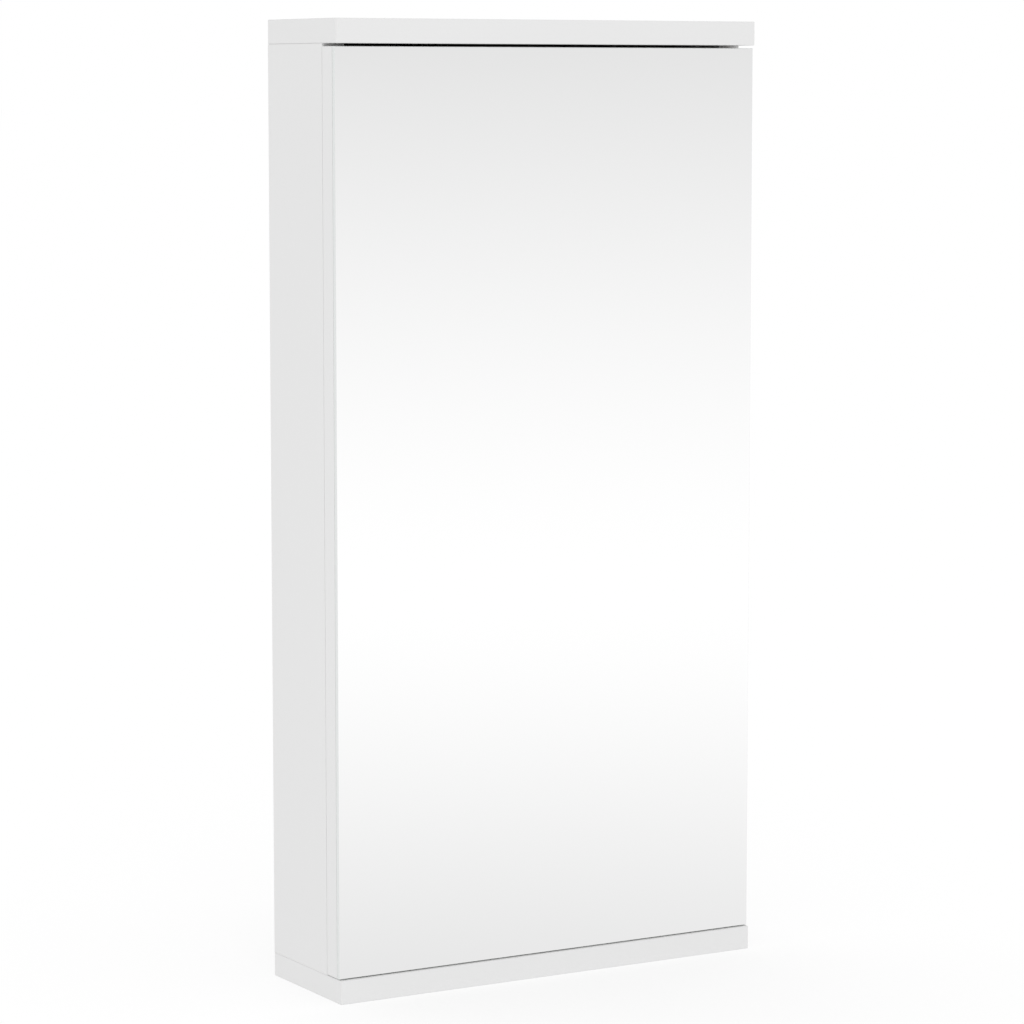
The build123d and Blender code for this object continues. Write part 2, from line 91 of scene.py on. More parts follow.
class Graph:
    def __init__(self, tree):
        self.tree = tree
        tree.nodes.clear()

    def add(self, kind, settings=None, values=None):
        made = self.tree.nodes.new(kind)
        for name, value in (settings or {}).items():
            if name == "stops":
                self.setStops(made.color_ramp, value)
            else:
                setattr(made, name, value)
        for name, value in (values or {}).items():
            if isinstance(value, Wire):
                self.tree.links.new(value.socket, made.inputs[name])
            else:
                made.inputs[name].default_value = value
        return made

    def out(self, kind, settings=None, values=None, socket=0):
        return Wire(self, self.add(kind, settings, values).outputs[socket])

    def setStops(self, ramp, stops):
        while len(ramp.elements) < len(stops):
            ramp.elements.new(1.0)
        for element, (place, colour) in zip(ramp.elements, stops):
            element.position = place
            element.color = (*colour, 1.0)

    def blend(self, factor, first, second):
        # the colour sockets of a Mix node are inputs 6 and 7, and output 2
        colours = [value if isinstance(value, Wire) else (*value, 1.0) for value in (first, second)]
        values = {0: factor, 6: colours[0], 7: colours[1]}
        return self.out("ShaderNodeMix", {"data_type": "RGBA"}, values, 2)

    def place(self):
        coordinates = self.add("ShaderNodeTexCoord")
        return Wire(self, coordinates.outputs["Object"])

    def axes(self, place):
        split = self.add("ShaderNodeSeparateXYZ", None, {0: place})
        return [Wire(self, split.outputs[axis]) for axis in ("X", "Y", "Z")]

    def stretch(self, place, scale):
        return self.out("ShaderNodeMapping", None, {"Vector": place, "Scale": scale})

    def noise(self, place, scale, detail=2.0, roughness=0.5):
        values = {"Vector": place, "Scale": scale, "Detail": detail, "Roughness": roughness}
        return self.out("ShaderNodeTexNoise", None, values)

    def bump(self, height, distance, strength=1.0):
        values = {"Height": height, "Distance": distance, "Strength": strength}
        return self.out("ShaderNodeBump", None, values)


def newMaterial(name):
    material = bpy.data.materials.new(name)
    material.use_nodes = True
    return material, Graph(material.node_tree)


def finishWith(graph, values):
    surface = graph.out("ShaderNodeBsdfPrincipled", None, values)
    graph.add("ShaderNodeOutputMaterial", None, {"Surface": surface})


def dress(material, *names):
    for name in names:
        for slot in nodes[name].material_slots:
            slot.material = material


# White melamine board: a face laminate, edge strips glued round it, and chipboard inside its holes
board = {
    "white": (0.770, 0.770, 0.770),
    "edgeWhite": (0.775, 0.775, 0.775),
    "glueLine": (0.62, 0.60, 0.57),
    "chips": ((0.26, 0.16, 0.08), (0.50, 0.36, 0.21), (0.66, 0.52, 0.34)),
    "laminate": 0.00018,
    "edgeStrip": 0.0005,
    "glueWidth": 0.00005,
    "roughness": 0.40,
    "coreRoughness": 0.85,
    "pearl": 1100.0,  # fineness of the press plate's texture
    "pearlHeight": 0.000012,
    "cloud": 9.0,  # fineness of the slow change of white
    "chipScale": 420.0,
    "chipStretch": (1.0, 1.0, 1.7),
    "chipStops": (0.30, 0.50, 0.70),
    "chipHeight": 8.0,  # share of the pearl's height
    "glueShare": 0.35,
    "sheenSpread": 0.06,
}


# How far a point lies under the plane whose normal and distance from the origin are given
def depthBelow(axes, normal, offset):
    parts = [axis * part for axis, part in zip(axes, normal) if abs(part) > 1e-9]
    total = parts[0]
    for part in parts[1:]:
        total = total + part
    return offset - total


def boardMaterial(name, faces, edges):
    material, graph = newMaterial(name)
    place = graph.place()
    axes = graph.axes(place)
    core = 1.0
    glue = None
    for normal, offset in faces:
        inside = depthBelow(axes, normal, offset) > board["laminate"]
        core = inside * core
    for normal, offset in edges:
        depth = depthBelow(axes, normal, offset)
        core = (depth > board["edgeStrip"]) * core
        line = abs(depth - board["edgeStrip"]) < board["glueWidth"]
        glue = line if glue is None else glue.most(line)
    pearl = graph.noise(place, board["pearl"], 2.0, 0.55)
    cloud = graph.noise(place, board["cloud"], 3.0)
    chips = graph.noise(graph.stretch(place, board["chipStretch"]), board["chipScale"], 4.0, 0.7)
    chipColour = graph.out("ShaderNodeValToRGB", {
        "stops": list(zip(board["chipStops"], board["chips"]))}, {0: chips})
    white = graph.blend(cloud, board["white"], board["edgeWhite"])
    white = graph.blend(glue * board["glueShare"], white, board["glueLine"])
    sheen = board["roughness"] + (pearl - 0.5) * board["sheenSpread"]
    coreSheen = core * (board["coreRoughness"] - board["roughness"])
    height = pearl * (1.0 - core) + chips * core * board["chipHeight"]
    finishWith(graph, {
        "Base Color": graph.blend(core, white, chipColour),
        "Roughness": sheen + coreSheen,
        "Normal": graph.bump(height, board["pearlHeight"]),
    })
    return material


# The planes that bound the boards: a normal and a distance each
halfWidth, halfDepth, sideRear = 0.150, 0.120, -0.030
leftSide = ((-1, 0, 0), halfWidth)
rightSide = ((1, 0, 0), halfWidth)
front = ((0, -1, 0), halfDepth)
leftBack = ((-1 / sqrt(2), 1 / sqrt(2), 0), halfDepth / sqrt(2))
rightBack = ((1 / sqrt(2), 1 / sqrt(2), 0), halfDepth / sqrt(2))
outline = [leftSide, rightSide, front, leftBack, rightBack]


def between(axis, low, high):
    plus = tuple(1 if place == axis else 0 for place in range(3))
    minus = tuple(-part for part in plus)
    return [(plus, high), (minus, -low)]


def boxOf(name):
    low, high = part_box(name)
    return [between(axis, low[axis], high[axis]) for axis in range(3)]


for name in ("top_panel", "bottom_panel"):
    low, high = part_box(name)
    dress(boardMaterial(name + "_board", between(2, low.z, high.z), outline), name)
for name in ("side_panel_left", "side_panel_right"):
    across, along, up = boxOf(name)
    dress(boardMaterial(name + "_board", across, along + up), name)
across, along, up = boxOf("door_board")
roundedArris = (rightBack[0], 0.0425 / sqrt(2))  # the door's rear edge beside the pivot
dress(boardMaterial("door_board_board", along, across + up + [roundedArris]), "door_board")
backThick = 0.012
backFoot = ((0, -1, 0), -sideRear)
for name, outer in (("back_panel_left", leftBack), ("back_panel_right", rightBack)):
    normal, offset = outer
    inner = (tuple(-part for part in normal), backThick - offset)
    ends = between(2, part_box(name)[0].z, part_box(name)[1].z) + [leftSide, rightSide, backFoot]
    ends += [rightBack] if outer == leftBack else []
    dress(boardMaterial(name + "_board", [outer, inner], ends), name)
for name in ("shelf_lower", "shelf_upper"):
    low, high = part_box(name)
    inset = [
        (leftSide[0], high.x), (rightSide[0], high.x), (front[0], -low.y),
        (leftBack[0], high.y / sqrt(2)), (rightBack[0], high.y / sqrt(2)),
    ]
    dress(boardMaterial(name + "_board", between(2, low.z, high.z), inset), name)
print("boards finished")

# Mirror: silvered glass, with the plain glass of its ground edge showing round it
mirrorLook = {
    "silver": (0.99, 0.99, 0.99),
    "edge": (0.735, 0.755, 0.748),
    "faceDepth": 0.00005,
    "roughness": 0.008,
    "edgeRoughness": 0.22,
    "haze": 14.0,
    "grind": 2600.0,
    "grindStretch": (1.0, 1.0, 0.05),
    "grindSpread": 0.1,
    "grindHeight": 0.00002,
}


def mirrorMaterial():
    material, graph = newMaterial("mirror_silver")
    place = graph.place()
    axes = graph.axes(place)
    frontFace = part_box("mirror")[0].y
    edge = (axes[1] - frontFace) > mirrorLook["faceDepth"]
    haze = graph.noise(place, mirrorLook["haze"], 3.0)
    grind = graph.noise(graph.stretch(place, mirrorLook["grindStretch"]), mirrorLook["grind"])
    roughness = haze * mirrorLook["roughness"]
    edgeRoughness = mirrorLook["edgeRoughness"] + grind * mirrorLook["grindSpread"]
    finishWith(graph, {
        "Base Color": graph.blend(edge, mirrorLook["silver"], mirrorLook["edge"]),
        "Metallic": 1.0 - edge,
        "Roughness": roughness * (1.0 - edge) + edgeRoughness * edge,
        "Normal": graph.bump(grind * edge, mirrorLook["grindHeight"]),
    })
    return material


dress(mirrorMaterial(), "mirror")


# Metals: zinc plating, turned or drawn steel and cast zinc
metals = {
    "zinc_plate": {
        "colour": (0.66, 0.67, 0.68), "tint": (0.57, 0.60, 0.64),
        "roughness": 0.26, "grain": 900.0, "depth": 0.00001,
    },
    "bright_steel": {
        "colour": (0.62, 0.62, 0.61), "tint": (0.52, 0.52, 0.52),
        "roughness": 0.22, "grain": 1800.0, "depth": 0.000008,
    },
    "screw_steel": {
        "colour": (0.72, 0.73, 0.74), "tint": (0.64, 0.66, 0.69),
        "roughness": 0.18, "grain": 1600.0, "depth": 0.000006,
    },
    "zinc_casting": {
        "colour": (0.52, 0.53, 0.54), "tint": (0.43, 0.44, 0.45),
        "roughness": 0.42, "grain": 700.0, "depth": 0.00003,
    },
}
metalSpread = 0.16  # how much the roughness changes over the grain
spangleSize = 6.0   # grains in one spangle


def metalMaterial(name):
    look = metals[name]
    material, graph = newMaterial(name)
    place = graph.place()
    spangle = graph.noise(place, look["grain"] / spangleSize, 3.0)
    grain = graph.noise(place, look["grain"], 3.0, 0.6)
    finishWith(graph, {
        "Base Color": graph.blend(spangle, look["colour"], look["tint"]),
        "Metallic": 1.0,
        "Roughness": look["roughness"] + (grain - 0.5) * metalSpread,
        "Normal": graph.bump(grain, look["depth"]),
    })
    return material


zincPlate, brightSteel, screwSteel, zincCasting = [metalMaterial(name) for name in metals]
dress(zincPlate, "pivot_bracket_top", "pivot_bracket_bottom", "wall_washers", "strike_plate")
dress(screwSteel, "cap_screws", "apex_screws", "bracket_screws", "catch_screws", "strike_screws")
dress(brightSteel, "pivot_pin_top", "pivot_pin_bottom", "shelf_pins_lower", "shelf_pins_upper",
      "catch_poles", "cam_bolts")
dress(zincCasting, "cam_locks")


# Moulded plastic, magnet, dowels and adhesive
plastic = {
    "colour": (0.78, 0.78, 0.775), "shade": (0.74, 0.74, 0.735),
    "roughness": 0.36, "grain": 1500.0, "depth": 0.00001,
}
magnet = {
    "colour": (0.045, 0.045, 0.048), "shade": (0.075, 0.073, 0.072),
    "roughness": 0.62, "grain": 1100.0, "depth": 0.00004,
}
wood = {
    "colour": (0.62, 0.45, 0.27), "shade": (0.48, 0.32, 0.18),
    "roughness": 0.6, "grain": 400.0, "depth": 0.00005,
}
adhesive = {
    "colour": (0.62, 0.62, 0.60), "shade": (0.55, 0.55, 0.53),
    "roughness": 0.5, "grain": 300.0, "depth": 0.00005,
}
plainSpread = 0.12
shadeSize = 8.0


def plainMaterial(name, look, stretch=(1.0, 1.0, 1.0)):
    material, graph = newMaterial(name)
    place = graph.stretch(graph.place(), stretch)
    shade = graph.noise(place, look["grain"] / shadeSize, 3.0)
    grain = graph.noise(place, look["grain"], 3.0, 0.6)
    finishWith(graph, {
        "Base Color": graph.blend(shade, look["colour"], look["shade"]),
        "Roughness": look["roughness"] + (grain - 0.5) * plainSpread,
        "Normal": graph.bump(grain, look["depth"]),
    })
    return material


mouldedPlastic = plainMaterial("moulded_plastic", plastic)
dress(mouldedPlastic, "cam_caps", "catch_housing",
      "pivot_washer_top", "pivot_washer_bottom", "pivot_bush_top", "pivot_bush_bottom")
dress(plainMaterial("ferrite_magnet", magnet), "catch_magnet")
dress(plainMaterial("beech_dowel", wood, (1.0, 1.0, 0.08)), "side_dowels", "back_dowels")
dress(plainMaterial("mirror_glue", adhesive), "mirror_adhesive")
print("hardware finished")

# Hardware modelled more finely than the CAD's nodes: each piece stands in the place of one node
def seatAt(place, normal, turn=0.0):
    facing = Vector(normal).to_track_quat("Z", "Y").to_matrix().to_4x4()
    return Matrix.Translation(place) @ facing @ Matrix.Rotation(radians(turn), 4, "Z")


def turned(profile, steps, ring=False):
    mesh = bmesh.new()
    points = [mesh.verts.new((radius, 0.0, level)) for radius, level in profile]
    ends = points[1:] + points[:1] if ring else points[1:]
    lines = [mesh.edges.new(pair) for pair in zip(points, ends)]
    bmesh.ops.spin(mesh, geom=points + lines, cent=(0, 0, 0), axis=(0, 0, 1), dvec=(0, 0, 0),
                   angle=2 * pi, steps=steps, use_merge=True)
    bmesh.ops.remove_doubles(mesh, verts=mesh.verts, dist=1e-7)
    bmesh.ops.recalc_face_normals(mesh, faces=mesh.faces)
    return mesh


def setPiece(node, body, material, shapes, sharp=35.0):
    data = bpy.data.meshes.new(node + "_fine")
    whole = bmesh.new()
    for shape, matrix in shapes:
        copy = shape.copy()
        copy.transform(matrix)
        copy.to_mesh(data)
        copy.free()
        whole.from_mesh(data)
    whole.to_mesh(data)
    whole.free()
    data.shade_smooth()
    data.set_sharp_from_angle(angle=radians(sharp))
    data.materials.append(material)
    made = bpy.data.objects.new(node + "_fine", data)
    bpy.context.scene.collection.objects.link(made)
    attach(made, body)
    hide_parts(node)


# Countersunk cross-head screws, with a thread wound along the shank
screwLook = {
    "steps": 32,
    "rimEase": 0.00008,
    "recessDepth": 0.0015,
    "armReach": 0.56,      # share of the head's radius
    "armWidth": 0.0010,
    "recessTaper": 0.45,
    "inset": 0.3,          # flat ring round the recess, share of the head's radius
    "tipLength": 1.5,      # share of the shank's radius
    "threadDepth": 0.28,   # share of the shank's radius
    "threadPitch": 0.50,   # share of the shank's diameter
}


def screwShape(shank, head, length):
    look = screwLook
    steps = look["steps"]
    ease = look["rimEase"]
    root = shank * (1.0 - look["threadDepth"])
    neck = head - shank
    tip = look["tipLength"] * shank
    profile = [(head - ease, 0.0), (head, -ease), (shank, -neck), (shank, -neck - ease * 6),
               (root, -neck - ease * 12), (root, tip - length), (0.0, -length)]
    mesh = turned(profile, steps)
    rim = [edge for edge in mesh.edges if edge.is_boundary]
    top = bmesh.ops.contextual_create(mesh, geom=rim)["faces"]
    bmesh.ops.inset_region(mesh, faces=top, thickness=head * look["inset"], use_even_offset=True)
    inner = head * (1.02 - look["inset"])
    reach, half = head * look["armReach"], look["armWidth"] / 2

    def onTop(face):
        return all(vert.co.z > -1e-7 and vert.co.xy.length < inner for vert in face.verts)

    for plane in ((1, 0, 0), (0, 1, 0)):
        for offset in (-reach, -half, half, reach):
            faces = [face for face in mesh.faces if onTop(face)]
            parts = {part for face in faces for part in (*face.verts, *face.edges)}
            bmesh.ops.bisect_plane(mesh, geom=faces + list(parts), dist=1e-8,
                                   plane_co=Vector(plane) * offset, plane_no=plane)
    cross = []
    for face in mesh.faces:
        x, y, _ = (abs(part) for part in face.calc_center_median())
        if onTop(face) and ((x < half and y < reach) or (y < half and x < reach)):
            cross.append(face)
    sunk = bmesh.ops.extrude_face_region(mesh, geom=cross)["geom"]
    sunk = [part for part in sunk if isinstance(part, bmesh.types.BMVert)]
    bmesh.ops.delete(mesh, geom=[face for face in cross if face.is_valid], context="FACES")
    bmesh.ops.translate(mesh, vec=(0, 0, -look["recessDepth"]), verts=sunk)
    taper = look["recessTaper"]
    bmesh.ops.scale(mesh, vec=(taper, taper, 1.0), verts=sunk)
    # the thread is a ridge of three-cornered section, wound round the shank
    wound = bmesh.new()
    pitch = look["threadPitch"] * 2 * shank
    start = -neck - ease * 6 - pitch
    turns = int((length - tip + start) / pitch)
    points = [wound.verts.new(spot) for spot in (
        (root * 0.9, 0.0, start + pitch * 0.3),
        (shank, 0.0, start),
        (root * 0.9, 0.0, start - pitch * 0.3),
    )]
    lines = [wound.edges.new((points[place - 1], points[place])) for place in range(3)]
    bmesh.ops.spin(wound, geom=points + lines, cent=(0, 0, 0), axis=(0, 0, 1),
                   dvec=(0, 0, -pitch / steps), angle=2 * pi * turns, steps=steps * turns)
    ends = [edge for edge in wound.edges if edge.is_boundary]
    bmesh.ops.holes_fill(wound, edges=ends, sides=4)
    bmesh.ops.recalc_face_normals(wound, faces=wound.faces)
    held = bpy.data.meshes.new("thread")
    wound.to_mesh(held)
    wound.free()
    mesh.from_mesh(held)
    bpy.data.meshes.remove(held)
    bmesh.ops.recalc_face_normals(mesh, faces=mesh.faces)
    return mesh


boardScrews = {
    "shank": 0.0019, "head": 0.0039, "capLength": 0.050, "apexLength": 0.040,
    "capSpots": ((0.038184, 0.073331), (0.101823, 0.009691)), "capLevels": ((0.600, 1), (0.0, -1)),
    "apexSpot": (-0.004243, 0.115757), "apexLevels": (0.1, 0.3, 0.5),
}
smallScrews = {
    "shank": 0.0015, "head": 0.0029, "length": 0.012, "strikeLength": 0.009,
    "bracketFace": 0.133, "bracketRows": (-0.0921, -0.0741), "bracketLevels": (0.5682, 0.0305),
    "catchSpot": (-0.131, -0.0932), "catchLevels": (0.2775, 0.3225),
    "strikeSpot": (-0.128, -0.102), "strikeLevels": (0.282, 0.318),
}
screwTurn = 37.0  # each screw stops this much further round than the one before


def setScrews(node, body, sizes, lengthName, seats):
    shape = screwShape(sizes["shank"], sizes["head"], sizes[lengthName])
    setPiece(node, body, screwSteel, [
        (shape, seatAt(*seat, screwTurn * count)) for count, seat in enumerate(seats)])


setScrews("cap_screws", "carcass", boardScrews, "capLength", [
    ((side * x, y, level), (0, 0, facing)) for side in (-1, 1)
    for x, y in boardScrews["capSpots"] for level, facing in boardScrews["capLevels"]])
setScrews("apex_screws", "carcass", boardScrews, "apexLength", [
    ((*boardScrews["apexSpot"], level), leftBack[0]) for level in boardScrews["apexLevels"]])
setScrews("bracket_screws", "carcass", smallScrews, "length", [
    ((smallScrews["bracketFace"], y, level), (-1, 0, 0))
    for y in smallScrews["bracketRows"] for level in smallScrews["bracketLevels"]])
setScrews("catch_screws", "carcass", smallScrews, "length", [
    ((*smallScrews["catchSpot"], level), (1, 0, 0)) for level in smallScrews["catchLevels"]])
setScrews("strike_screws", "door", smallScrews, "strikeLength", [
    ((*smallScrews["strikeSpot"], level), (0, 1, 0)) for level in smallScrews["strikeLevels"]])
print("screws modelled")

# Turned and moulded pieces: wall washers, caps over the cam locks, shelf pins
washers = {
    "profile": [
        (0.0029, 0), (0.0088, 0), (0.009, 0.00015), (0.009, 0.0011), (0.0089, 0.00135),
        (0.0086, 0.0015), (0.0032, 0.0015), (0.00297, 0.0014), (0.0029, 0.00122),
    ],
    "steps": 48, "across": 0.066468, "along": 0.036562, "levels": (0.070, 0.530),
}
washer = turned(washers["profile"], washers["steps"], ring=True)
setPiece("wall_washers", "carcass", zincPlate, [
    (washer, seatAt((side * washers["across"], washers["along"], level), (-side, -1, 0)))
    for side in (-1, 1) for level in washers["levels"]])
caps = {
    "profile": [
        (0.0, 0.00102), (0.0006, 0.00104), (0.0009, 0.0012), (0.0040, 0.00118), (0.0066, 0.00108),
        (0.0077, 0.00092), (0.0083, 0.00062), (0.0085, 0.0003), (0.0085, 0.0), (0.0, 0.0),
    ],
    "steps": 48, "across": 0.135, "along": -0.052, "levels": (0.049, 0.551),
}
cap = turned(caps["profile"], caps["steps"])
setPiece("cam_caps", "carcass", mouldedPlastic, [
    (cap, seatAt((side * caps["across"], caps["along"], level), (-side, 0, 0)))
    for side in (-1, 1) for level in caps["levels"]])
pins = {
    "profile": [
        (0.0, 0.009), (0.0014, 0.009), (0.0020, 0.00885), (0.0024, 0.0084), (0.0025, 0.0079),
        (0.0025, 0.001), (0.0036, 0.001), (0.00375, 0.00085), (0.00375, 0.0001), (0.00365, 0.0),
        (0.0025, 0.0), (0.0025, -0.0072), (0.0021, -0.008), (0.0, -0.008),
    ],
    "steps": 32, "sideSpot": (0.135, -0.0817), "backSpot": (0.048083, 0.054946),
    "levels": {"shelf_pins_lower": 0.1925, "shelf_pins_upper": 0.3875},
}
shelfPin = turned(pins["profile"], pins["steps"])
for node, level in pins["levels"].items():
    seats = [((side * x, y, level), (-side, inward, 0))
             for (x, y), inward in ((pins["sideSpot"], 0), (pins["backSpot"], -1)) for side in (-1, 1)]
    setPiece(node, "carcass", brightSteel, [(shelfPin, seatAt(*seat)) for seat in seats])
print("turned pieces modelled")


# Sheet and moulded pieces: outlines with rounded corners, pulled to thickness, eased and drilled
def plateFrom(corners, thick, rounds, ease):
    mesh = bmesh.new()
    points = [mesh.verts.new((*corner, 0.0)) for corner in corners]
    sides = [mesh.edges.new((points[place - 1], points[place])) for place in range(len(points))]
    bmesh.ops.contextual_create(mesh, geom=sides)
    for radius, chosen in rounds:
        corner = [points[place] for place in chosen]
        bmesh.ops.bevel(mesh, geom=corner, offset=radius, offset_type="OFFSET", segments=6, profile=0.5,
                        affect="VERTICES", material=-1)
    pulled = bmesh.ops.extrude_face_region(mesh, geom=mesh.faces[:])["geom"]
    pulled = [part for part in pulled if isinstance(part, bmesh.types.BMVert)]
    bmesh.ops.translate(mesh, vec=(0, 0, thick), verts=pulled)
    bmesh.ops.recalc_face_normals(mesh, faces=mesh.faces)
    if ease:
        easeEdges(mesh, ease, lambda edge: all(vert.co.z > thick - 1e-7 for vert in edge.verts))
    return mesh


def easeEdges(mesh, radius, chosen, segments=3):
    edges = [edge for edge in mesh.edges if edge.calc_face_angle(0.0) > 0.6 and chosen(edge)]
    bmesh.ops.bevel(mesh, geom=edges, offset=radius, offset_type="OFFSET", segments=segments, profile=0.5,
                    affect="EDGES", material=-1, clamp_overlap=True)


def drill(mesh, normal, near, far, holes):
    # near and far are the two faces' levels along the normal; a hole is a spot and its two radii
    normal = Vector(normal)
    rims = []
    for way, level, which in ((1, near, 1), (-1, far, 2)):
        flat = [face for face in mesh.faces if face.normal.dot(normal) * way > 0.999
                and abs(face.calc_center_median().dot(normal) - level) < 1e-6]
        border = [edge for edge in mesh.edges if sum(face in flat for face in edge.link_faces) == 1]
        bmesh.ops.delete(mesh, geom=flat, context="FACES_ONLY")
        bmesh.ops.delete(mesh, geom=[edge for edge in mesh.edges if edge.is_wire], context="EDGES")
        border = [edge for edge in border if edge.is_valid]
        for hole in holes:
            spot = Vector(hole[0])
            spot += normal * (level - spot.dot(normal))
            turn = Matrix.Translation(spot) @ normal.to_track_quat("Z", "Y").to_matrix().to_4x4()
            verts = bmesh.ops.create_circle(mesh, cap_ends=False, segments=32, radius=hole[which],
                                            matrix=turn)["verts"]
            rim = list({edge for vert in verts for edge in vert.link_edges})
            rims.append(rim)
            border += rim
        bmesh.ops.triangle_fill(mesh, use_beauty=True, use_dissolve=False, edges=border, normal=normal * way)
    for place in range(len(holes)):
        bmesh.ops.bridge_loops(mesh, edges=rims[place] + rims[place + len(holes)])
    bmesh.ops.recalc_face_normals(mesh, faces=mesh.faces)


identity = Matrix()

# Strike plate on the door
strike = {
    "halfWidth": 0.006, "halfHeight": 0.023, "thick": 0.0012, "corner": 0.002, "ease": 0.0002,
    "place": (-0.128, -0.1032, 0.300), "holeRadii": (0.0029, 0.00175), "holes": (-0.018, 0.018),
}
wide, tall = strike["halfWidth"], strike["halfHeight"]
plate = plateFrom([(-wide, -tall), (wide, -tall), (wide, tall), (-wide, tall)], strike["thick"],
                  [(strike["corner"], (0, 1, 2, 3))], strike["ease"])
drill(plate, (0, 0, 1), strike["thick"], 0.0,
      [((0, level, 0), *strike["holeRadii"]) for level in strike["holes"]])
seat = Matrix.Translation(strike["place"]) @ Matrix.Rotation(radians(-90), 4, "X")
setPiece("strike_plate", "door", zincPlate, [(plate, seat)])

# Magnetic catch's housing: a block with a pocket, between two screw ears
catch = {
    "earThick": 0.004, "earSide": 0.0003, "earCorner": 0.003, "ease": 0.0006,
    "blockLevels": (0.283, 0.317), "blockEase": 0.0008, "lap": 0.0002,
    "holeRow": -0.0932, "holeLevels": (0.2775, 0.3225), "holeRadii": (0.0029, 0.00155),
    "wall": 0.0029, "pocketWidth": 0.0066, "pocketDepth": 0.0091,
}
low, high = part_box("catch_housing")
blockLow, blockHigh = catch["blockLevels"]
shapes = []
near, far = low.y + catch["earSide"], high.y - catch["earSide"]
ears = (
    (low.z, blockLow + catch["lap"], (0, 3), catch["holeLevels"][0]),
    (blockHigh - catch["lap"], high.z, (1, 2), catch["holeLevels"][1]),
)
for start, end, outer, level in ears:
    ear = plateFrom([(near, start), (near, end), (far, end), (far, start)],
                    catch["earThick"], [(catch["earCorner"], outer)], catch["ease"])
    drill(ear, (0, 0, 1), catch["earThick"], 0.0, [((catch["holeRow"], level, 0), *catch["holeRadii"])])
    turn = Matrix(((0, 0, 1, low.x), (1, 0, 0, 0), (0, 1, 0, 0), (0, 0, 0, 1)))
    shapes.append((ear, turn))
block = plateFrom([(low.x, low.y), (high.x, low.y), (high.x, high.y), (low.x, high.y)],
                  blockHigh - blockLow, [], 0.0)
bmesh.ops.translate(block, vec=(0, 0, blockLow), verts=block.verts)
easeEdges(block, catch["blockEase"], lambda edge: not all(vert.co.x < low.x + 1e-6 for vert in edge.verts))
front = [face for face in block.faces if face.normal.y < -0.999]
rim = catch["wall"] - catch["blockEase"]
bmesh.ops.inset_region(block, faces=front, thickness=rim, use_even_offset=True)
inner = {vert for face in front for vert in face.verts}
middle = Vector(((low.x + high.x) / 2, 0, 0))
wideNow = max(vert.co.x for vert in inner) - min(vert.co.x for vert in inner)
bmesh.ops.scale(block, vec=(catch["pocketWidth"] / wideNow, 1, 1), space=Matrix.Translation(-middle),
                verts=list(inner))
sunk = bmesh.ops.extrude_face_region(block, geom=front)["geom"]
sunk = [part for part in sunk if isinstance(part, bmesh.types.BMVert)]
bmesh.ops.delete(block, geom=[face for face in front if face.is_valid], context="FACES_ONLY")
bmesh.ops.translate(block, vec=(0, catch["pocketDepth"], 0), verts=sunk)
bmesh.ops.recalc_face_normals(block, faces=block.faces)
shapes.append((block, identity))
setPiece("catch_housing", "carcass", mouldedPlastic, shapes)
print("catch modelled")

# Pivot brackets: a tongue under the cap panel and a flange bent down against the side panel
bracket = {
    "thick": 0.002, "under": 0.5805, "bend": 0.0026, "foot": 0.5532, "corner": 0.003, "steps": 8,
    "inner": 0.121, "outer": 0.135, "tip": 0.1485, "tongueRows": (-0.113, -0.105),
    "flangeRows": (-0.0991, -0.0671), "tipRound": 0.0039, "crookRound": 0.0015, "cornerRound": 0.002,
    "pin": (0.1445, -0.109), "pinRadius": 0.002, "holeRows": (-0.0921, -0.0741), "holeLevel": 0.5682,
    "holeRadii": (0.0029, 0.00155),
    "mirrorLevel": 0.29935,  # halfway between the two brackets
}
bracketSharp = 30.0  # faces that meet more steeply than this keep a hard edge
inner, outer, tip = bracket["inner"], bracket["outer"], bracket["tip"]
front, rear = bracket["tongueRows"]
near, far = bracket["flangeRows"]
bendX = outer - bracket["bend"]
shape = plateFrom(
    [(inner, front), (tip, front), (tip, rear), (outer, rear), (outer, near), (bendX, near), (bendX, far),
     (inner, far)],
    bracket["thick"],
    [(bracket["tipRound"], (1, 2)), (bracket["crookRound"], (3,)), (bracket["cornerRound"], (0, 7))], 0.0)
bmesh.ops.translate(shape, vec=(0, 0, bracket["under"]), verts=shape.verts)
section = [face for face in shape.faces
           if face.normal.x > 0.999 and abs(face.calc_center_median().x - bendX) < 1e-6]
geom = section + [part for face in section for part in (*face.verts, *face.edges)]
axisAt = (bendX, 0, bracket["under"] + bracket["thick"] - bracket["bend"])
last = bmesh.ops.spin(shape, geom=geom, cent=axisAt, axis=(0, 1, 0), dvec=(0, 0, 0), angle=pi / 2,
                      steps=bracket["steps"])["geom_last"]
last = [part for part in last if isinstance(part, bmesh.types.BMFace)]
pulled = bmesh.ops.extrude_face_region(shape, geom=last)
pulled = [part for part in pulled["geom"] if isinstance(part, bmesh.types.BMVert)]
bmesh.ops.translate(shape, vec=(0, 0, bracket["foot"] - axisAt[2]), verts=pulled)
inside = [face for face in shape.faces if all(len(edge.link_faces) > 2 for edge in face.edges)]
bmesh.ops.delete(shape, geom=inside, context="FACES_ONLY")
bmesh.ops.recalc_face_normals(shape, faces=shape.faces)
easeEdges(shape, bracket["corner"], lambda edge: (
    all(vert.co.z < bracket["foot"] + 1e-6 for vert in edge.verts)
    and abs(edge.verts[0].co.x - edge.verts[1].co.x) > 0.001), 6)
drill(shape, (0, 0, 1), bracket["under"] + bracket["thick"], bracket["under"],
      [((*bracket["pin"], 0), bracket["pinRadius"], bracket["pinRadius"])])
drill(shape, (-1, 0, 0), bracket["thick"] - outer, -outer,
      [((0, y, bracket["holeLevel"]), *bracket["holeRadii"]) for y in bracket["holeRows"]])
setPiece("pivot_bracket_top", "carcass", zincPlate, [(shape, identity)], bracketSharp)
below = shape.copy()
